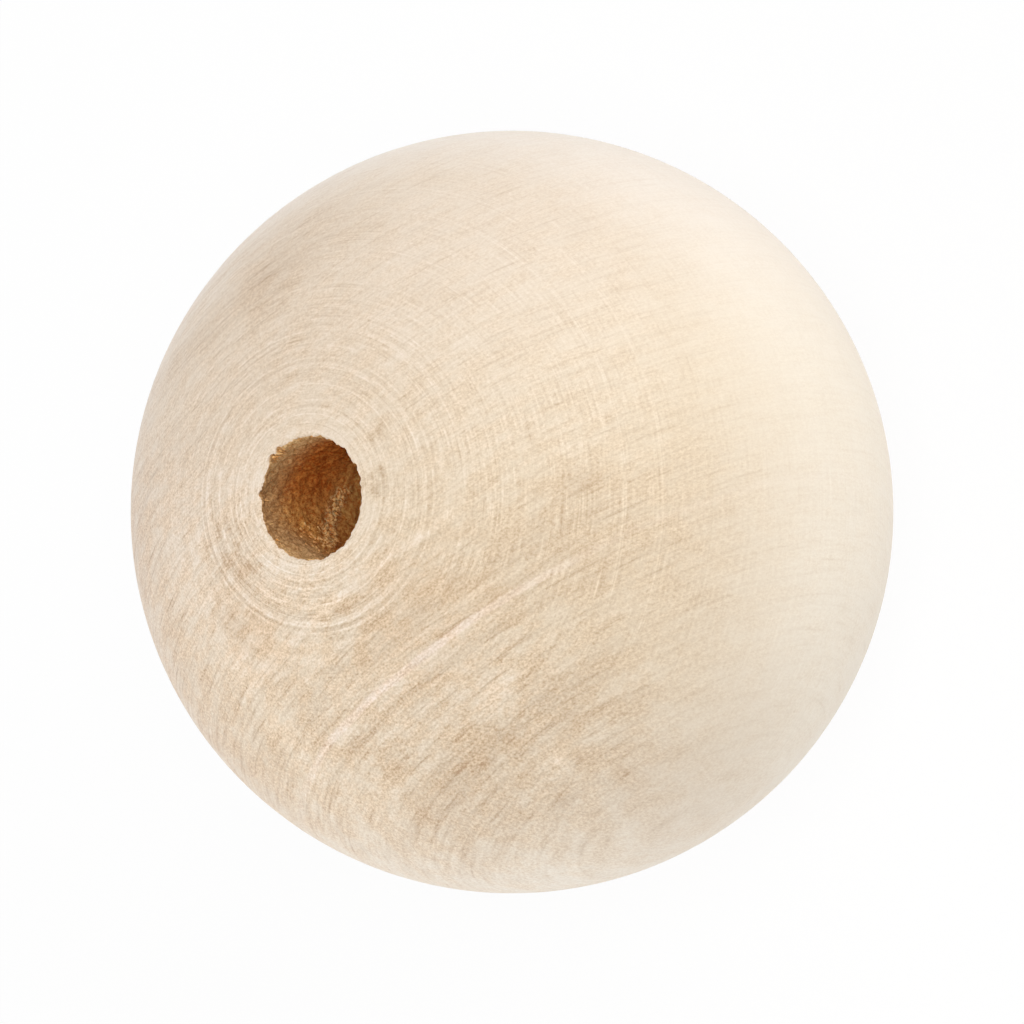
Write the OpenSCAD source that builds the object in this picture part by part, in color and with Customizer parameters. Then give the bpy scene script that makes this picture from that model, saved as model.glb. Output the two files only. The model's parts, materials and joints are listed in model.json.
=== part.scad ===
// Turned wooden bead: one ball of pale hardwood with a round hole drilled right through it.
// Sizes are in millimetres. The origin is the middle of the ball, Z runs along the hole and
// along the grain, and X runs across the growth rings. The bead stands on its lower rim.

/* [Ball] */
// Diameter of the turned ball
ball_d = 50; // [30:1:80]

/* [Hole] */
// Diameter of the hole drilled through the ball
hole_d = 8; // [4:0.5:12]
// Radius of the worn edge round each mouth of the hole
edge_r = 0.25; // [0.1:0.05:0.6]

/* [Torn rim] */
// How far the largest tear bites into the rim of the upper mouth
tear_bite = 0.3; // [0.1:0.05:0.8]
// How far the largest tear runs down the wall of the hole
tear_run = 1.6; // [0.8:0.1:3]
// Radius of the hollow that the largest tear leaves
tear_r = 0.4; // [0.2:0.05:0.8]

/* [Hidden] */
$fn = 128;

// How far every cut runs past the surface that it cuts
overrun = 1;

// Tears left by the drill round the upper rim: share of a turn, share of the largest tear
tear_shares = [
    [0.20, 0.7], [0.237, 0.8], [0.292, 0.6], [0.375, 0.5], [0.511, 0.7], [0.539, 1.0], [0.64, 0.7]
];

ball_r = ball_d / 2;
hole_r = hole_d / 2;

// The worn edge is a small round that touches the wall of the hole and the ball from inside
edge_x = hole_r + edge_r;
edge_z = sqrt(pow(ball_r - edge_r, 2) - pow(edge_x, 2));

// Height at which the wall of the hole would meet the ball if its edge were sharp
rim_z = sqrt(pow(ball_r, 2) - pow(hole_r, 2));

// What the worn edge takes off the sharp corner of the section, at the upper mouth
module edge_corner() {
    outward = (ball_r + overrun) / (ball_r - edge_r);
    difference() {
        polygon([
            [edge_x, edge_z],
            [edge_x, edge_z] * outward,
            [hole_r - overrun, ball_r + overrun],
            [hole_r - overrun, edge_z]
        ]);
        translate([edge_x, edge_z]) circle(r = edge_r);
    }
}

// Half section through the hole's axis: the ball outside, the wall of the hole inside
module half_section() {
    difference() {
        intersection() {
            circle(r = ball_r);
            translate([hole_r, -ball_r]) square([ball_r - hole_r, ball_d]);
        }
        edge_corner();
        mirror([0, 1]) edge_corner();
    }
}

// One tear: a sliver split off along the grain, leaving a hollow that leans out of the wall
module tear(turn_share, size_share) {
    bite = tear_bite * size_share;
    run = tear_run * size_share;
    hollow_r = tear_r * size_share;
    rotate([0, 0, 360 * turn_share])
        translate([hole_r - hollow_r, 0, rim_z - run])
            rotate([0, atan2(bite, run), 0])
                translate([0, 0, -overrun])
                    cylinder(h = run + 2 * overrun, r = hollow_r);
}

// The whole bead, turned to a ball, drilled, and torn a little where the drill came in
module bead() {
    color("#e9dac0")
    difference() {
        rotate_extrude() half_section();
        for (shares = tear_shares) tear(shares[0], shares[1]);
    }
}

bead();
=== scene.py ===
# Looks of a turned wooden bead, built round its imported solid.
# The frame is the solid's own: metres, Z along the hole and the grain, X across the growth rings.
import json
import math

import bpy
from mathutils import Matrix, Vector


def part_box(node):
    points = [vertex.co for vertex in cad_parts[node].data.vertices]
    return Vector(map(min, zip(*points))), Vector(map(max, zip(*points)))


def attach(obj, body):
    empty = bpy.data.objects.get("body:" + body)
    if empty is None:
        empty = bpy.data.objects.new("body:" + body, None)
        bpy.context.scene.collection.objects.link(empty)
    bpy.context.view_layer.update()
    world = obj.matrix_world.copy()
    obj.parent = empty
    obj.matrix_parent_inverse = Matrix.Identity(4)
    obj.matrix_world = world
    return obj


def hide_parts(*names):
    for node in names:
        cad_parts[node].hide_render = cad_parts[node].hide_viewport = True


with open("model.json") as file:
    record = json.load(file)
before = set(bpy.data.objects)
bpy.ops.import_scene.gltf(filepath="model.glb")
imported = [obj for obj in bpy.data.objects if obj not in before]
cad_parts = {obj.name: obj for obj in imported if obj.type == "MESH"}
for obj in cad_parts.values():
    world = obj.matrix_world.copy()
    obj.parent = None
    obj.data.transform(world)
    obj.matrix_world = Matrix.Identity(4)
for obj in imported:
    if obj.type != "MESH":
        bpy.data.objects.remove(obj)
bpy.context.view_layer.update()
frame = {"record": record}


# The bead
# One ball of pale, close-grained hardwood, turned between centres and sanded but left bare.
# A drill went right through it along the grain, browned the wall and tore the rim where it came in.
# Sizes are in millimetres, and a finished mesh is brought to metres.
MM = 0.001
bead_low, bead_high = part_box("bead")
ball_radius = (bead_high.x - bead_low.x) / 2 / MM
hole_radius = frame["record"]["mounts"][0]["dims"]["r_mm"]
mouth_height = math.sqrt(ball_radius**2 - hole_radius**2)
edge_radius = 0.25

# Tears round the upper rim, as in the solid: share of a turn, share of the largest tear
tear_shares = (
    (0.20, 0.7), (0.237, 0.8), (0.292, 0.6), (0.375, 0.5), (0.511, 0.7), (0.539, 1.0), (0.64, 0.7),
)
tear_bite = 0.3
tear_run = 1.6
tear_radius = 0.4


class Wire:
    """A socket in a node tree. Sums and products of wires add the Math nodes that work them out."""

    def __init__(self, socket):
        self.socket = socket
        self.tree = socket.id_data

    def math(self, operation, *others):
        return add(self.tree, "ShaderNodeMath", (self, *others), operation=operation)

    def __add__(self, other):
        return self.math("ADD", other)

    def __sub__(self, other):
        return self.math("SUBTRACT", other)

    def __rsub__(self, other):
        return add(self.tree, "ShaderNodeMath", (other, self), operation="SUBTRACT")

    def __mul__(self, other):
        return self.math("MULTIPLY", other)

    def __truediv__(self, other):
        return self.math("DIVIDE", other)

    def __neg__(self):
        return self * -1.0

    def __abs__(self):
        return self.math("ABSOLUTE")

    def vector(self, operation, other, output=0):
        return add(self.tree, "ShaderNodeVectorMath", (self, other), output=output, operation=operation)

    def beside(self, name):
        """Another output of the node that this wire comes from."""
        return Wire(self.socket.node.outputs[name])


def add(tree, kind, values=(), output=0, **settings):
    """Adds a node, sets its options, feeds its inputs in order or by key, and returns one output."""
    node = tree.nodes.new(kind)
    for name, setting in settings.items():
        setattr(node, name, setting)
    for key, value in values.items() if isinstance(values, dict) else enumerate(values):
        if isinstance(value, Wire):
            feed(value, node, key)
        else:
            node.inputs[key].default_value = value
    return Wire(node.outputs[output])


def feed(wire, node, key):
    """Joins a wire to an input of a node, by its name or its number."""
    wire.tree.links.new(wire.socket, node.inputs[key])


def split(vector):
    """The three parts of a vector."""
    parts = add(vector.tree, "ShaderNodeSeparateXYZ", (vector,))
    return [parts.beside(axis) for axis in "XYZ"]


def join(tree, *parts):
    """A vector from its three parts."""
    return add(tree, "ShaderNodeCombineXYZ", parts)


def rise(value, start, end):
    """Goes smoothly from 0 at start to 1 at end."""
    values = {"Value": value, "From Min": start, "From Max": end}
    return add(value.tree, "ShaderNodeMapRange", values, interpolation_type="SMOOTHSTEP")


def stretched(place, *shares):
    """A place with each of its parts multiplied by a share."""
    return place.vector("MULTIPLY", shares)


def along(place, *direction):
    """How far a place lies along a direction."""
    return place.vector("DOT_PRODUCT", direction, output="Value")


def noise(place, scale, detail=2.0, rough=0.5):
    """Cloudy noise over a place, about -1 to 1."""
    values = {"Vector": place, "Scale": scale, "Detail": detail, "Roughness": rough}
    return add(place.tree, "ShaderNodeTexNoise", values) * 2.0 - 1.0


def lines(value, scale, detail=2.0, rough=0.5, seed=0.0):
    """Lines of uneven width and strength along one value, about -1 to 1."""
    values = {"W": value + seed, "Scale": scale, "Detail": detail, "Roughness": rough}
    return add(value.tree, "ShaderNodeTexNoise", values, noise_dimensions="1D") * 2.0 - 1.0


def sharpened(value, strength, faint=0.4):
    """Holds the faint parts of a noise back, so that its strong ones stand out."""
    return value * abs(value) * strength + value * faint


def open_tree(tree, inputs, outputs):
    """Gives a tree its named sockets. Returns its input wires by name, and its output node."""
    for name, (kind, default) in inputs.items():
        socket = tree.interface.new_socket(name, in_out="INPUT", socket_type="NodeSocket" + kind)
        if default is not None:
            socket.default_value = default
    for name, kind in outputs.items():
        tree.interface.new_socket(name, in_out="OUTPUT", socket_type="NodeSocket" + kind)
    source = tree.nodes.new("NodeGroupInput")
    wires = {name: Wire(source.outputs[name]) for name in inputs}
    return wires, tree.nodes.new("NodeGroupOutput")


def tint(red, green, blue):
    """A colour from its display values, 0 to 255."""
    shares = [part / 255 for part in (red, green, blue)]
    linear = [s / 12.92 if s < 0.04045 else ((s + 0.055) / 1.055) ** 2.4 for s in shares]
    return (*linear, 1.0)


def mixed(share, first, second, blend="MIX"):
    """One colour laid over another by a share. A Mix node's colour sockets go by their numbers."""
    values = {0: share, 6: first, 7: second}
    return add(share.tree, "ShaderNodeMix", values, output=2, data_type="RGBA", blend_type=blend)


def multiplied(share, colour, *factors):
    """A colour with its red, green and blue multiplied by factors, by a share."""
    return mixed(share, colour, (*factors, 1.0), blend="MULTIPLY")


def open_finish(name):
    """A new material, its shader, and the place on the piece in millimetres."""
    material = bpy.data.materials.new(name)
    material.use_nodes = True
    tree = material.node_tree
    object_place = add(tree, "ShaderNodeTexCoord", output="Object")
    place = add(tree, "ShaderNodeVectorMath", {0: object_place, "Scale": 1 / MM}, operation="SCALE")
    return material, tree.nodes["Principled BSDF"], place


# The grain that all of the wood shares: thin growth layers across X, and grit that is strongest in
# rough zones along them. Its place is in millimetres. It gives a tone, where 0 is the plain wood,
# a mask of the rough zones, and a height.
grain = bpy.data.node_groups.new("wood_grain", "ShaderNodeTree")
grain_in, grain_out = open_tree(
    grain,
    {"Place": ("Vector", None), "Layers": ("Float", 0.3), "Grit": ("Float", 0.3)},
    {"Tone": "Float", "Rough Zones": "Float", "Height": "Float"},
)
grain_place = grain_in["Place"]
layer_waver = noise(stretched(grain_place, 1.0, 1.0, 0.35), 0.1, detail=0.0) * 0.4
layer_place = grain_place.vector("ADD", join(grain, layer_waver, 0.0, 0.0))
layers = noise(stretched(layer_place, 4.5, 0.25, 0.18), 1.0, rough=0.6)
layer_lines = sharpened(layers, 2.5).math("MINIMUM", 0.18)
zone_cloud = noise(stretched(layer_place, 0.8, 0.4, 0.3), 1.0, detail=5.0, rough=0.7)
zones = rise(zone_cloud, -0.3, 0.3)
grit = noise(stretched(grain_place, 1.1, 0.75, 0.5), 7.0, detail=1.5, rough=0.8)
grit_tone = grit.math("MINIMUM", 0.4) * (zones * 0.5 + 0.75)
feed(layer_lines * grain_in["Layers"] + grit_tone * grain_in["Grit"], grain_out, "Tone")
feed(zones, grain_out, "Rough Zones")
feed(grit, grain_out, "Height")

# The finish of the ball. Tones are summed first, and together they pick the colour.
wood, wood_shader, wood_place = open_finish("turned_wood")
wood_tree = wood.node_tree
wood_x, wood_y, wood_z = split(wood_place)

# The lathe turned the ball about an axis that leans a little from the hole's
lathe_lean_x = -0.0152
lathe_lean_y = -0.0041
lathe_x = wood_x - wood_z * lathe_lean_x
lathe_y = wood_y - wood_z * lathe_lean_y
axis_distance = (lathe_x * lathe_x + lathe_y * lathe_y).math("SQRT")
polar_angle = axis_distance.math("ARCTAN2", wood_z) * math.degrees(1)

# Where the ball shows end grain its pattern is strong, on its waist fainter, and on one side faintest
quiet_side = along(wood_place, -0.45, 0.85, 0.1)
busy_side = along(wood_place, 0.5, -0.8, 0.3)
smooth_side = along(wood_place, 0.48, 0.7, -0.53)
upper_side = along(wood_place, 0.34, 0.41, 0.85)
busy = rise(busy_side, 4.0, 14.0)
end_grain = rise(wood_z, 4.0, 19.0).math("MAXIMUM", rise(wood_z, -10.0, -24.0))
smooth_patch = rise(smooth_side, 0.0, 14.0) * rise(upper_side, -9.0, 1.0)
waist_strength = smooth_patch * -0.25 + 0.6
waist_pattern = end_grain + (1.0 - end_grain) * waist_strength
pattern_strength = waist_pattern * (rise(quiet_side, 20.0, 8.0) * 0.4 + 0.6)

layer_strength = (busy * 0.25 + 0.5) * (rise(polar_angle, 14.0, 26.0) * 0.7 + 0.3)
grain_values = {"Place": wood_place, "Layers": layer_strength, "Grit": busy * 0.4 + 0.7}
grain_tone = add(wood_tree, "ShaderNodeGroup", grain_values, output="Tone", node_tree=grain)
rough_zones = grain_tone.beside("Rough Zones")
grain_lift = grain_tone.beside("Height")
zone_tone = (rough_zones - 0.5) * (busy * -0.06 - 0.08)


def tone_curve(value, low, high, tones):
    """A tone that follows given points along a value, by straight lines, level past the ends."""
    value_share = (value - low) / (high - low)
    curve = add(value.tree, "ShaderNodeFloatCurve", {"Factor": 1.0, "Value": value_share})
    mapping = curve.socket.node.mapping
    mapping.extend = "HORIZONTAL"
    points = mapping.curves[0].points
    for place, tone in tones:
        share = (place - low) / (high - low)
        level = tone / 2 + 0.5
        if place in (low, high):
            point = points[0 if place == low else -1]
            point.location = (share, level)
        else:
            point = points.new(share, level)
        point.handle_type = "VECTOR"
    mapping.update()
    return curve * 2.0 - 1.0


# Growth bands that stand out: place across the growth layers in millimetres, and tone
band_tones = (
    (-25.0, 0.0), (-17.5, -0.05), (-16.4, -0.14), (-14.5, -0.1), (-12.0, 0.0), (-10.0, -0.08), (-6.0, 0.0),
    (0.0, 0.06), (6.0, 0.0), (6.2, 0.22), (6.5, 0.22), (6.8, -0.1), (7.4, 0.0), (8.5, 0.0), (9.6, -0.16),
    (10.7, -0.16), (10.9, 0.12), (11.2, 0.12), (11.4, -0.12), (11.9, -0.1), (12.1, 0.06), (13.1, 0.06),
    (13.4, -0.24), (13.9, 0.06), (16.5, 0.14), (18.2, -0.12), (19.0, 0.05), (21.0, 0.12), (25.0, 0.1),
)
waver = noise(stretched(wood_place, 1.0, 1.0, 0.4), 0.13, detail=1.0)
cloud = noise(wood_place, 0.45, detail=5.0, rough=0.7)
band_run = rise(wood_y, 15.0, 3.0) * rise(wood_y, -17.0, -9.0) * 0.8 + 0.2
band_place = wood_x - wood_y * 0.028 + waver * 0.35 + cloud * 0.05
bands = tone_curve(band_place, -25.0, 25.0, band_tones) * band_run * (rough_zones * -0.4 + 1.1)

# Marks of the turning tool and the sanding: rings about the lathe's axis, uneven and broken into dashes
near_hole = rise(polar_angle, 23.0, 18.0)
mark_patches = (rise(cloud, -0.3, 0.4) * 0.8 + 0.2).math("MAXIMUM", near_hole * 0.7)
mark_angle = polar_angle + waver * 0.15
mark_lines = sharpened(lines(mark_angle, 1.3, detail=3.0, rough=0.85, seed=7.0), 2.0)
turn_x = lathe_x / axis_distance
turn_y = lathe_y / axis_distance
dash_place = join(wood_tree, turn_x * 6.0, turn_y * 6.0, polar_angle * 2.4)
dash_tone = noise(dash_place, 1.0, detail=1.5, rough=0.7) * (rough_zones * 0.5 + 0.5)
mark_fade = near_hole * (busy - 0.05) + rise(polar_angle, 65.0, 30.0) * 0.35 + 0.5 - busy * 0.4
mark_tone = (mark_lines * 0.8 + dash_tone) * mark_patches * mark_fade

# Rings close to the hole that stand out: angle from the lathe's axis in degrees, and tone
ring_tones = (
    (8.0, 0.2), (10.5, 0.2), (12.0, 0.05), (12.7, 0.2), (13.6, -0.06), (14.3, 0.12), (15.2, -0.12),
    (16.0, 0.0), (16.7, 0.2), (17.8, -0.2), (18.5, -0.05), (18.8, 0.2), (19.2, 0.12), (19.4, 0.12),
    (19.8, 0.26), (20.2, -0.28), (20.8, 0.08), (21.6, -0.12), (22.8, 0.1), (24.0, -0.05), (25.0, 0.1),
    (26.6, -0.08), (28.0, 0.04), (30.0, 0.0),
)
ring_strength = busy * 0.7 + mark_patches * 0.4 + 0.05
rings = tone_curve(mark_angle, 8.0, 30.0, ring_tones) * ring_strength

# How the wood darkens and pales again away from the hole: angle from the lathe's axis, and tone
polar_tones = (
    (0.0, 0.0), (30.0, 0.0), (40.0, -0.2), (50.0, -0.37), (60.0, -0.41), (70.0, -0.3), (80.0, -0.2),
    (120.0, -0.1), (150.0, 0.0), (180.0, 0.0),
)
polar_shade = tone_curve(polar_angle, 0.0, 180.0, polar_tones) * (busy * 0.8 + mark_patches * 0.25)
fine_tone = grain_tone + zone_tone + mark_tone + rings + bands
tone = fine_tone * pattern_strength + polar_shade


def patch(centre, reach, fray):
    """A soft patch of the wood with a frayed edge: 1 at its centre, and 0 past its reach."""
    distance = wood_place.vector("DISTANCE", centre, output="Value")
    return rise(distance + cloud * fray, reach, 0.0)


# Marks that one can point at: place in millimetres, reach, and tone. Dark ones gather in rough zones.
spot_fray = 2.5
spot_tones = (
    ((9.0, 14.1, 18.6), 2.2, -0.2),
    ((20.8, 0.3, 13.9), 1.2, 0.5),
    ((16.7, 1.3, 18.5), 3.0, 0.25),
    ((2.4, 4.6, 24.4), 1.2, -0.5),
    ((-0.6, 6.6, 24.1), 1.4, -0.35),
    ((-0.4, -6.9, 24.0), 3.8, -0.3),
    ((-15.5, 3.0, 19.4), 5.0, -0.1),
    ((21.0, 0.3, 13.6), 5.0, 0.2),
    ((4.5, -12.5, 21.5), 2.5, 0.25),
    ((10.0, -13.0, 19.0), 3.0, 0.25),
    ((2.0, -10.5, 22.5), 2.5, -0.2),
    ((15.0, -7.5, 18.5), 3.0, -0.15),
)
for centre, reach, spot_tone in spot_tones:
    spot = patch(centre, reach, spot_fray) * spot_tone
    if spot_tone < 0.0:
        spot = spot * (rough_zones * 0.9 + 0.55)
    tone = tone + spot

# Broad shades of the wood: place in millimetres, reach, and tone
shade_tones = (
    ((24.5, 2.5, 2.0), 13.0, -0.18),
    ((14.4, -13.4, 15.5), 10.0, 0.24),
    ((16.5, 14.0, 12.5), 12.0, -0.12),
    ((11.4, 10.4, 19.7), 9.0, -0.18),
    ((-17.0, 4.5, 17.5), 10.0, -0.12),
    ((22.5, 9.5, 5.0), 9.0, -0.12),
    ((12.5, 20.5, 6.0), 12.0, -0.07),
)
for centre, reach, shade_tone in shade_tones:
    tone = tone + patch(centre, reach, spot_fray) * shade_tone

# Colours from a brown streak to the palest wood, by their share of the way from the darkest tone to
# the lightest, and the share at which plain wood lies
tone_colours = (
    (0.0, tint(180, 150, 118)),
    (0.3, tint(208, 186, 157)),
    (0.5, tint(224, 206, 179)),
    (0.7, tint(238, 222, 200)),
    (1.0, tint(250, 240, 226)),
)
plain_share = 0.49
wood_ramp = add(wood_tree, "ShaderNodeValToRGB", {"Fac": tone * 0.5 + plain_share})
wood_stops = wood_ramp.socket.node.color_ramp.elements
wood_stops[0].color = tone_colours[0][1]
wood_stops[1].color = tone_colours[-1][1]
for at, colour in tone_colours[1:-1]:
    wood_stops.new(at).color = colour

# Side grain, round the waist, is paler and less yellow than end grain. The same paling at the ball's edge
# also works as a painted sheen. On the quiet side the paling is painted sheen and light only, and the -X
# side is greyer, also a painted sheen.
side_grain = rise(along(wood_place, 0.08, 0.09, 1.0), 19.0, 4.0) * rise(wood_z, -24.0, -10.0)
grain_and_painted_sheen_share = side_grain.math("MAXIMUM", rise(quiet_side, 8.0, 22.0) * 0.35)
wood_colour = multiplied(grain_and_painted_sheen_share, wood_ramp, 1.13, 1.22, 1.38)
wood_colour = multiplied(rise(wood_x, 10.0, -12.0), wood_colour, 1.0, 1.0, 1.05)

# Rough zones are pinker than the smooth wood between them, most of all on the busy side
zone_share = (busy * 0.5 + 0.5) * pattern_strength
zone_tint = mixed(rough_zones, (1.0, 1.01, 1.05, 1.0), (1.01, 0.95, 0.9, 1.0))
wood_colour = mixed(zone_share, wood_colour, zone_tint, blend="MULTIPLY")

# One growth band is bright: paler and greyer than the wood beside it
bright_band_place = 12.2
bright_band = rise(abs(band_place - bright_band_place), 0.3, 0.16) * band_run * pattern_strength
wood_colour = multiplied(bright_band, wood_colour, 1.1, 1.12, 1.22)

# Warm stains, one between the hole and the bright band, and one below the hole
stain_fray = 5.0
stain_strength = 0.45
large_stain = patch((9.5, 1.4, 22.5), 7.5, stain_fray)
small_stain = patch((3.5, -9.5, 22.8), 5.5, stain_fray)
stain = large_stain.math("MAXIMUM", small_stain) * stain_strength
wood_colour = multiplied(stain, wood_colour, 0.9, 0.82, 0.74)

feed(wood_colour, wood_shader, "Base Color")
feed(tone * -0.08 + 0.62, wood_shader, "Roughness")
wood_shader.inputs["Sheen Weight"].default_value = 0.2
wood_shader.inputs["Sheen Roughness"].default_value = 0.5
wood_shader.inputs["Specular IOR Level"].default_value = 0.4
wood_lift = mark_lines * 0.006 + grain_lift * 0.004
wood_bump = add(wood_tree, "ShaderNodeBump", {"Height": wood_lift, "Distance": MM, "Strength": 1.0})
feed(wood_bump, wood_shader, "Normal")

# The wall of the hole, browned by the drill: tan at the mouth, redder inside, and pale where it is torn.
# Deep inside it is paler again, which is painted light. The mouth is darker where the front lamp lights it
# most and paler elsewhere, which is painted shade and painted light.
bore_wood, bore_shader, bore_place = open_finish("drilled_wood")
bore_x, bore_y, bore_z = split(bore_place)
bore_depth = mouth_height - abs(bore_z)
bore_cloud = noise(stretched(bore_place, 1.0, 1.0, 0.6), 2.2, detail=4.0, rough=0.75)
bore_specks = noise(stretched(bore_place, 1.0, 1.0, 0.7), 5.5, rough=0.8) + bore_cloud * 0.5
bore_tone = rise(bore_specks, -0.4, 0.42)
bore_red = mixed(bore_tone, tint(172, 86, 24), tint(224, 152, 76))
bore_brown = mixed(bore_tone, tint(184, 108, 42), tint(242, 190, 112))
bore_inside = mixed(rise(bore_x, -3.4, -1.2), bore_red, bore_brown)
# Deeper in the hole the wall is painted paler: painted light where little light reaches the deep wall.
bore_deep_painted_light = mixed(bore_tone, tint(226, 142, 62), tint(255, 212, 130))
# The mouth is painted darker on its -Y side, where the front lamp lights it most, and paler on its +Y and
# +X sides: painted shade and painted light.
bore_mouth_painted_shade = mixed(bore_tone, tint(144, 104, 64), tint(200, 160, 112))
bore_mouth_painted_light = mixed(bore_tone, tint(200, 156, 100), tint(252, 218, 164))
mouth_painted_light_side = rise(bore_y, -4.0, 1.5).math("MAXIMUM", rise(bore_x, 0.0, 1.5) * 0.45)
bore_mouth = mixed(mouth_painted_light_side, bore_mouth_painted_shade, bore_mouth_painted_light)
mouth_end = bore_depth + bore_cloud * 1.5 - rise(bore_x, -1.5, 1.0) * 2.5
bore_colour = mixed(rise(bore_depth, 7.5, 12.0), bore_inside, bore_deep_painted_light)
bore_colour = mixed(rise(mouth_end, 5.0, 1.0), bore_colour, bore_mouth)

# A pale torn strip on the wall: its middle and half its run in degrees round the hole, the depth of
# its middle, and how that depth changes with each degree
strip_middle = -110.0
strip_half = 30.0
strip_depth = 8.6
strip_fall = -0.055
strip_fade = 8.0
bore_turn = bore_y.math("ARCTAN2", bore_x) * math.degrees(1) - strip_middle
strip_off = abs(bore_depth - strip_depth - bore_turn * strip_fall)
strip_run = rise(abs(bore_turn), strip_half + strip_fade, strip_half - strip_fade)
torn_share = rise(strip_off + bore_cloud * 1.2, 1.4, 0.4) * strip_run
bore_torn = mixed(rise(bore_specks, -0.2, 0.3), tint(206, 138, 70), tint(255, 234, 176))
bore_colour = mixed(torn_share, bore_colour, bore_torn)

feed(bore_colour, bore_shader, "Base Color")
bore_shader.inputs["Roughness"].default_value = 0.72
bore_shader.inputs["Specular IOR Level"].default_value = 0.1
bore_lift = {"Height": bore_specks, "Distance": MM, "Strength": 0.1}
feed(add(bore_wood.node_tree, "ShaderNodeBump", bore_lift), bore_shader, "Normal")

# The turned form: a half section of arcs and one straight wall, swept once round the hole's axis.
# The rows of faces run along the turning marks.
turning = bpy.data.node_groups.new("turned_bead", "GeometryNodeTree")
turning_in, turning_out = open_tree(
    turning,
    {
        "Ball Radius": ("Float", 25.0),
        "Hole Radius": ("Float", 4.0),
        "Edge Radius": ("Float", 0.25),
        "Segments": ("Int", 288),
        "Waviness": ("Float", 0.012),
        "Raggedness": ("Float", 0.11),
        "Wall Roughness": ("Float", 0.35),
        "Narrowing": ("Float", 0.2),
        "Ball Material": ("Material", None),
        "Wall Material": ("Material", None),
    },
    {"Geometry": "Geometry"},
)
ball_r = turning_in["Ball Radius"]
hole_r = turning_in["Hole Radius"]
edge_r = turning_in["Edge Radius"]
edge_x = hole_r + edge_r
edge_z = ((ball_r - edge_r) * (ball_r - edge_r) - edge_x * edge_x).math("SQRT")
touch_angle = edge_z.math("ARCTAN2", edge_x)


def arc(share, centre_x, centre_z, radius, start, end):
    """The section's distance from the axis and its height, along an arc."""
    angle = (end - start) * share + start
    return radius * angle.math("COSINE") + centre_x, radius * angle.math("SINE") + centre_z


def ball_arc(share):
    """The ball from the upper mouth down, with its rows closest at the top."""
    return arc(share.math("POWER", 1.5), 0.0, 0.0, ball_r, touch_angle, -touch_angle)


def lower_edge(share):
    """The worn edge of the lower mouth, from the ball to the wall."""
    return arc(share, edge_x, -edge_z, edge_r, -touch_angle, -math.pi)


def wall(share):
    """The straight wall, from the lower mouth up, with its rows closest at the top."""
    climb = share.math("POWER", 0.45)
    return hole_r, (climb * 2.0 - 1.0) * edge_z


def upper_edge(share):
    """The worn edge of the upper mouth, from the wall to the ball."""
    return arc(share, edge_x, edge_z, edge_r, math.pi, touch_angle)


# Each band of the section: its form, rows, stretch of the bake map, and how far its first and last
# rows are drilled
section_bands = (
    (ball_arc, 125, (0.33, 0.99), (0.0, 0.0)),
    (lower_edge, 5, (0.30, 0.32), (0.0, 1.0)),
    (wall, 200, (0.04, 0.29), (1.0, 1.0)),
    (upper_edge, 8, (0.01, 0.03), (1.0, 0.0)),
)


def noted(mesh, name, value, kind, domain):
    """A mesh that keeps a value under a name. The node's sockets go by their numbers."""
    values = {0: mesh, 2: name, 3: value}
    return add(mesh.tree, "GeometryNodeStoreNamedAttribute", values, data_type=kind, domain=domain)


map_margin = 0.01
seam_reach = 0.001
swept = add(turning, "GeometryNodeJoinGeometry")
for form, rows, (map_low, map_high), (drilled_first, drilled_last) in section_bands:
    columns = turning_in["Segments"] + 1.0
    sheet_sizes = {"Size X": 1.0, "Size Y": 1.0, "Vertices X": columns, "Vertices Y": rows + 1}
    sheet = add(turning, "GeometryNodeMeshGrid", sheet_sizes)
    sheet_x, sheet_y, _ = split(add(turning, "GeometryNodeInputPosition"))
    turn_share = sheet_x + 0.5
    row_share = sheet_y + 0.5
    map_across = turn_share * (1 - 2 * map_margin) + map_margin
    map_place = join(turning, map_across, row_share * (map_high - map_low) + map_low, 0.0)
    drilled_share = row_share * (drilled_last - drilled_first) + drilled_first
    mapped = noted(sheet, "OFBake", map_place, "FLOAT2", "CORNER")
    marked = noted(mapped, "drilled", drilled_share, "FLOAT", "POINT")
    turn = turn_share * (2 * math.pi)
    out, height = form(row_share)
    turned_place = join(turning, out * turn.math("COSINE"), out * turn.math("SINE"), height)
    turned = add(turning, "GeometryNodeSetPosition", {"Geometry": marked, "Position": turned_place})
    feed(turned, swept.socket.node, "Geometry")
closed = add(turning, "GeometryNodeMergeByDistance", {"Geometry": swept, "Distance": seam_reach})

# What the tools did to the turned form: tears and a ragged rim at the upper mouth, a rough wall,
# and a slight waviness over the ball
form_place = add(turning, "GeometryNodeInputPosition")
form_x, form_y, form_z = split(form_place)
form_r = (form_x * form_x + form_y * form_y).math("SQRT")
form_drilled = add(turning, "GeometryNodeInputNamedAttribute", {"Name": "drilled"}, data_type="FLOAT")
rim_z = (ball_r * ball_r - hole_r * hole_r).math("SQRT")


def torn_out(turn_share, size_share):
    """How far one tear moves the wall outwards, as a hollow that leans out of it."""
    angle = 2 * math.pi * turn_share
    hollow = tear_radius * size_share
    run = tear_run * size_share
    bite = tear_bite * size_share
    outward = form_x * math.cos(angle) + form_y * math.sin(angle)
    sideways = form_y * math.cos(angle) - form_x * math.sin(angle)
    bulge = (hollow**2 - sideways * sideways).math("MAXIMUM", 0.0).math("SQRT")
    reach = (form_z - rim_z + run) * (bite / run)
    hollow_out = hole_r - hollow + reach + bulge - outward
    inside = bulge.math("GREATER_THAN", 0.001) * reach.math("GREATER_THAN", 0.0)
    facing = outward.math("GREATER_THAN", 0.0)
    return hollow_out.math("MAXIMUM", 0.0) * inside * facing


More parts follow.
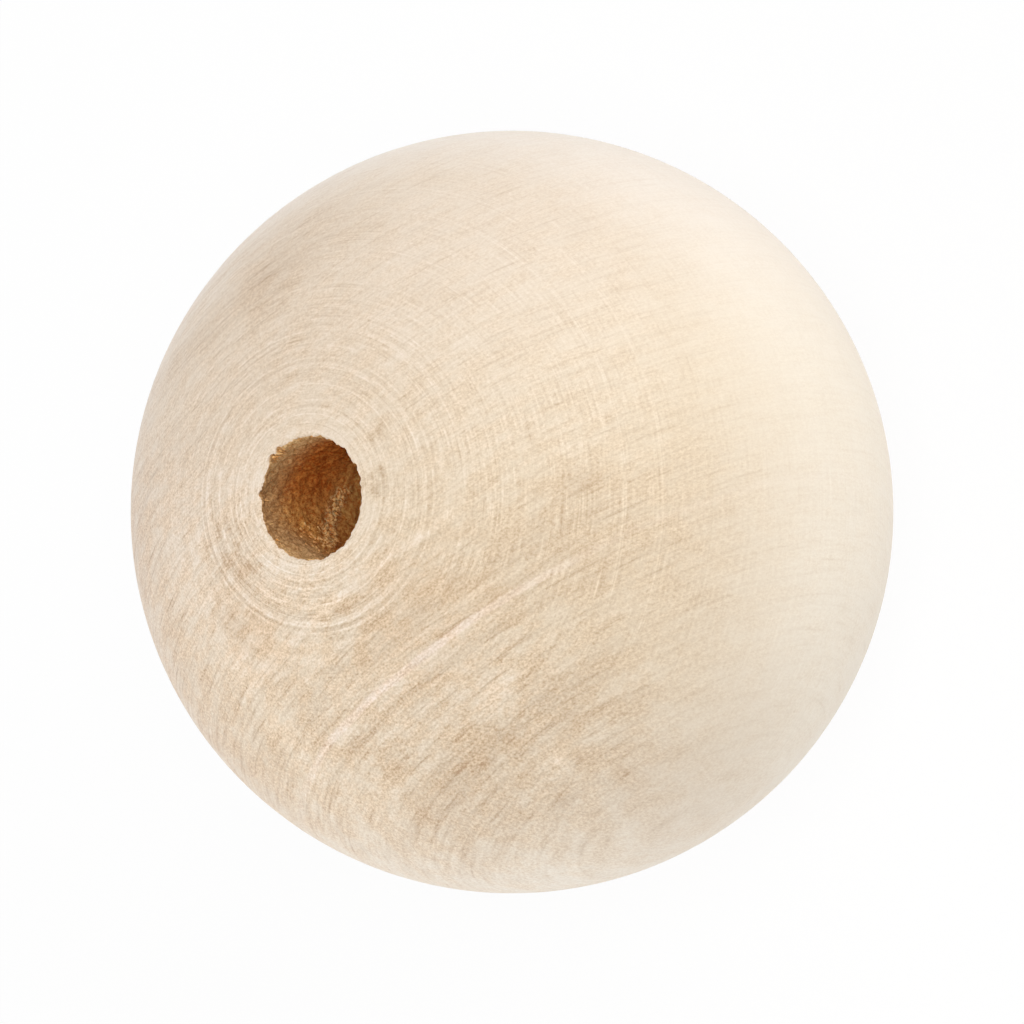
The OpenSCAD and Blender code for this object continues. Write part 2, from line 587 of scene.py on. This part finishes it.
push = torn_out(*tear_shares[0])
for shares in tear_shares[1:]:
    push = push.math("MAXIMUM", torn_out(*shares))
rim_out = form_r - hole_r
rim_up = form_z - rim_z
rim_near = rise((rim_out * rim_out + rim_up * rim_up).math("SQRT"), 1.2, 0.1)
rim_noise = noise(stretched(form_place, 1.0, 1.0, 0.25), 1.6, detail=4.0, rough=0.7)
push = push + rim_near * rim_noise * turning_in["Raggedness"]
narrow_turn = math.radians(55)
across = (form_x * math.cos(narrow_turn) + form_y * math.sin(narrow_turn)) / form_r
push = push - rim_near * across * across * turning_in["Narrowing"]
wall_noise = noise(stretched(form_place, 1.0, 1.0, 0.6), 1.8, detail=4.0, rough=0.65)
push = push + form_drilled * wall_noise * turning_in["Wall Roughness"]

# A pushed point stays under the ball's surface
pushed_r = form_r + push
surface_z = (ball_r * ball_r - pushed_r * pushed_r).math("SQRT")
pushed_z = form_z.math("MINIMUM", surface_z)
waves = lines(form_z.math("ARCTAN2", form_r) * math.degrees(1), 0.3, detail=1.0)
swell = waves * turning_in["Waviness"] * (1.0 - form_drilled) / ball_r + 1.0
spread = pushed_r / form_r * swell
worn_place = join(turning, form_x * spread, form_y * spread, pushed_z * swell)
worn = add(turning, "GeometryNodeSetPosition", {"Geometry": closed, "Position": worn_place})
smooth = add(turning, "GeometryNodeSetShadeSmooth", {"Geometry": worn})
sized = add(turning, "GeometryNodeTransform", {"Geometry": smooth, "Scale": (MM, MM, MM)})
whole = add(turning, "GeometryNodeRealizeInstances", {"Geometry": sized})
ball_finish = {"Geometry": whole, "Material": turning_in["Ball Material"]}
turned_all = add(turning, "GeometryNodeSetMaterial", ball_finish)
browned = (form_drilled + rim_noise * 0.3).math("GREATER_THAN", 0.8)
wall_finish = {"Geometry": turned_all, "Selection": browned, "Material": turning_in["Wall Material"]}
feed(add(turning, "GeometryNodeSetMaterial", wall_finish), turning_out, "Geometry")


def placed_object(name, data):
    """A new object in the scene."""
    made = bpy.data.objects.new(name, data)
    bpy.context.scene.collection.objects.link(made)
    return made


def made_by(tree, name, settings):
    """An object whose plain mesh is what a geometry tree makes with the given input settings."""
    piece = placed_object(name, bpy.data.meshes.new(name))
    modifier = piece.modifiers.new(name, "NODES")
    modifier.node_group = tree
    for item in tree.interface.items_tree:
        if item.in_out == "INPUT" and item.name in settings:
            modifier[item.identifier] = settings[item.name]
    depsgraph = bpy.context.evaluated_depsgraph_get()
    mesh = bpy.data.meshes.new_from_object(piece.evaluated_get(depsgraph))
    piece.modifiers.remove(modifier)
    piece.data = mesh
    mesh.name = name
    return piece


bead = made_by(turning, "turned_bead", {
    "Ball Radius": ball_radius,
    "Hole Radius": hole_radius,
    "Edge Radius": edge_radius,
    "Ball Material": wood,
    "Wall Material": bore_wood,
})
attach(bead, "root")
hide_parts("bead")


# The torn fibres
# Slivers of the same wood that the drill raised along the grain and left hanging: a burr at the rim,
# flakes along the torn strip on the wall, and loose ends round the mouth. Each is a thin tapered spike.
fibre_wood, fibre_shader, fibre_place = open_finish("torn_fibre")
fibre_grain = {"Place": fibre_place, "Layers": 0.6, "Grit": 0.8}
fibre_tone = add(fibre_wood.node_tree, "ShaderNodeGroup", fibre_grain, output="Tone", node_tree=grain)
fibre_colour = mixed(rise(fibre_tone, -0.4, 0.4), tint(214, 148, 80), tint(248, 210, 146))
feed(fibre_colour, fibre_shader, "Base Color")
fibre_shader.inputs["Roughness"].default_value = 0.7
fibre_shader.inputs["Specular IOR Level"].default_value = 0.1

# Each cluster: count, azimuth and its spread in degrees, depth below the rim and its spread, how the
# depth falls with azimuth in millimetres per degree, length, width, lean away from the wall, and slant
fibre_clusters = (
    (16, 191.0, 16.0, 0.35, 0.5, 0.0, 0.9, 0.09, 0.5, 1.2),
    (70, strip_middle + 360.0, strip_half * 2, strip_depth, 1.4, strip_fall, 0.5, 0.26, 0.3, 3.0),
    (30, 272.0, 34.0, 5.5, 3.0, 0.0, 0.4, 0.22, 0.3, 3.0),
    (40, 60.0, 110.0, 0.5, 0.5, 0.0, 0.5, 0.08, 0.3, 1.2),
    (50, 235.0, 200.0, 0.6, 0.8, 0.0, 0.6, 0.08, 0.3, 1.2),
)
tearing = bpy.data.node_groups.new("torn_fibres", "GeometryNodeTree")
tearing_in, tearing_out = open_tree(
    tearing,
    {
        "Hole Radius": ("Float", 4.0),
        "Rim Height": ("Float", 24.6),
        "Seed": ("Int", 5),
        "Material": ("Material", None),
    },
    {"Geometry": "Geometry"},
)


def chance(seed_step):
    """A random share between 0 and 1 for each point. The node's sockets go by their numbers."""
    values = {2: 0.0, 3: 1.0, 8: tearing_in["Seed"] + seed_step}
    return add(tearing, "FunctionNodeRandomValue", values, output=1, data_type="FLOAT")


spike_sizes = {"Vertices": 6, "Radius Top": 0.1, "Radius Bottom": 0.5, "Depth": 1.0}
spikes = add(tearing, "GeometryNodeJoinGeometry")
for step, cluster in enumerate(fibre_clusters):
    count, azimuth, spread, depth, depth_spread, fall, length, width, lean, slant_most = cluster
    seed_step = step * 10
    turn_offset = (chance(seed_step) - 0.5) * spread
    turn = (turn_offset + azimuth) * math.radians(1)
    drop = turn_offset * fall + (chance(seed_step + 1) - 0.5) * depth_spread + depth
    out_x = turn.math("COSINE")
    out_y = turn.math("SINE")
    wall_r = tearing_in["Hole Radius"]
    root = join(tearing, wall_r * out_x, wall_r * out_y, tearing_in["Rim Height"] - drop)
    points = add(tearing, "GeometryNodePoints", {"Count": count, "Position": root})
    inward = chance(seed_step + 2) * lean
    slant = (chance(seed_step + 3) - 0.5) * slant_most
    spike_x = -(out_x * inward) - out_y * slant
    spike_y = out_x * slant - out_y * inward
    spike_way = join(tearing, spike_x, spike_y, -1.0)
    aim = add(tearing, "FunctionNodeAlignRotationToVector", {"Vector": spike_way}, axis="Z")
    spike = add(tearing, "GeometryNodeMeshCone", spike_sizes)
    spike_long = (chance(seed_step + 4) * 0.8 + 0.4) * length
    spike_wide = (chance(seed_step + 5) * 0.8 + 0.5) * width
    spike_scale = join(tearing, spike_wide, spike_wide, spike_long)
    spike_places = {"Points": points, "Instance": spike, "Rotation": aim, "Scale": spike_scale}
    feed(add(tearing, "GeometryNodeInstanceOnPoints", spike_places), spikes.socket.node, "Geometry")
fibres_whole = add(tearing, "GeometryNodeRealizeInstances", {"Geometry": spikes})
fibres_smooth = add(tearing, "GeometryNodeSetShadeSmooth", {"Geometry": fibres_whole})
fibres_sized = add(tearing, "GeometryNodeTransform", {"Geometry": fibres_smooth, "Scale": (MM, MM, MM)})
fibre_finish = {"Geometry": fibres_sized, "Material": tearing_in["Material"]}
feed(add(tearing, "GeometryNodeSetMaterial", fibre_finish), tearing_out, "Geometry")

fibres = made_by(tearing, "torn_fibres", {
    "Hole Radius": hole_radius,
    "Rim Height": mouth_height,
    "Material": fibre_wood,
})
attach(fibres, "root")


# The floor
# A plain pale sheet that the bead stands on. The camera sees it white, with the bead's soft shadow,
# and from below it is clear.
floor_half = 3.0
floor_shadow_share = 0.06
white = (1.0, 1.0, 1.0, 1.0)
pale = (0.9, 0.9, 0.9, 1.0)
corner_signs = ((-1, -1), (1, -1), (1, 1), (-1, 1))
floor_corners = [(x * floor_half, y * floor_half, bead_low.z) for x, y in corner_signs]
floor_mesh = bpy.data.meshes.new("floor")
floor_mesh.from_pydata(floor_corners, [], [(0, 1, 2, 3)])
floor = placed_object("floor", floor_mesh)
paper = bpy.data.materials.new("white_paper")
paper.use_nodes = True
paper_tree = paper.node_tree
paper_tree.nodes.remove(paper_tree.nodes["Principled BSDF"])
paper_matt = add(paper_tree, "ShaderNodeBsdfDiffuse", {"Color": pale})
paper_white = add(paper_tree, "ShaderNodeEmission", {"Color": white, "Strength": 1.0})
seen = add(paper_tree, "ShaderNodeLightPath", output="Is Camera Ray")
mirrored = seen.beside("Is Glossy Ray")
seen_through = seen.beside("Is Transmission Ray")
shown = seen.math("MAXIMUM", mirrored).math("MAXIMUM", seen_through) * (1 - floor_shadow_share)
paper_shown = add(paper_tree, "ShaderNodeMixShader", (shown, paper_matt, paper_white))
paper_below = add(paper_tree, "ShaderNodeNewGeometry", output="Backfacing")
paper_clear = add(paper_tree, "ShaderNodeBsdfTransparent")
paper_face = add(paper_tree, "ShaderNodeMixShader", (paper_below, paper_shown, paper_clear))
feed(paper_face, paper_tree.nodes["Material Output"], "Surface")
floor_mesh.materials.append(paper)


# The light
# A white room that is bright low on its -Y side and a little on its +X side, a large soft lamp low on
# the +Y side, and a smaller one on the camera's side, which looks into the hole.
window_level = 2.65
side_level = 0.3
room_least = 0.27
room = bpy.data.worlds.new("white_room")
bpy.context.scene.world = room
room.use_nodes = True
room_tree = room.node_tree
room_x, room_y, room_z = split(add(room_tree, "ShaderNodeTexCoord", output="Generated"))
window_light = (room_y * -window_level).math("MAXIMUM", 0.0)
side_light = (room_x * side_level).math("MAXIMUM", 0.0)
room_level = (window_light + side_light) * (1.0 - room_z) + room_least
room_seen = add(room_tree, "ShaderNodeLightPath", output="Is Camera Ray")
room_back = room_tree.nodes["Background"]
room_back.inputs["Color"].default_value = white
feed(room_level + (1.0 - room_level) * room_seen, room_back, "Strength")

# Each lamp: name, direction from the bead, size in metres, and power
lamp_distance = 0.6
lamp_forms = (
    ("side_lamp", (-0.25, 0.85, 0.45), 0.48, 1.9),
    ("front_lamp", (0.3, 0.37, 0.88), 0.22, 1.3),
)
for lamp_name, direction, size, power in lamp_forms:
    lamp_data = bpy.data.lights.new(lamp_name, "AREA")
    lamp_data.shape = "DISK"
    lamp_data.size = size
    lamp_data.energy = power
    lamp = placed_object(lamp_name, lamp_data)
    lamp_direction = Vector(direction).normalized()
    lamp.location = lamp_direction * lamp_distance
    lamp.rotation_mode = "QUATERNION"
    lamp.rotation_quaternion = lamp_direction.to_track_quat("Z", "Y")


# The camera
# It looks down past the upper mouth from a metre away, rolled so that the hole points left.
# The ball's radius in the picture sets the lens.
picture_px = 1024
ball_px = 381.3
camera_radii = 40
camera_right = Vector((0.4837, 0.6991, -0.5265))
camera_up = Vector((-0.8085, 0.5874, 0.0372))
camera_back = camera_right.cross(camera_up)
camera_data = bpy.data.cameras.new("camera")
camera_data.sensor_width = 36.0
focal_px = ball_px * math.sqrt(camera_radii**2 - 1)
camera_data.lens = camera_data.sensor_width * focal_px / picture_px
camera_data.clip_end = 10.0
camera = placed_object("camera", camera_data)
camera_turn = Matrix((camera_right, camera_up, camera_back)).transposed().to_4x4()
camera_place = camera_back * camera_radii * ball_radius * MM
camera.matrix_world = Matrix.Translation(camera_place) @ camera_turn
bpy.context.scene.camera = camera
bpy.context.scene.view_settings.view_transform = "Standard"
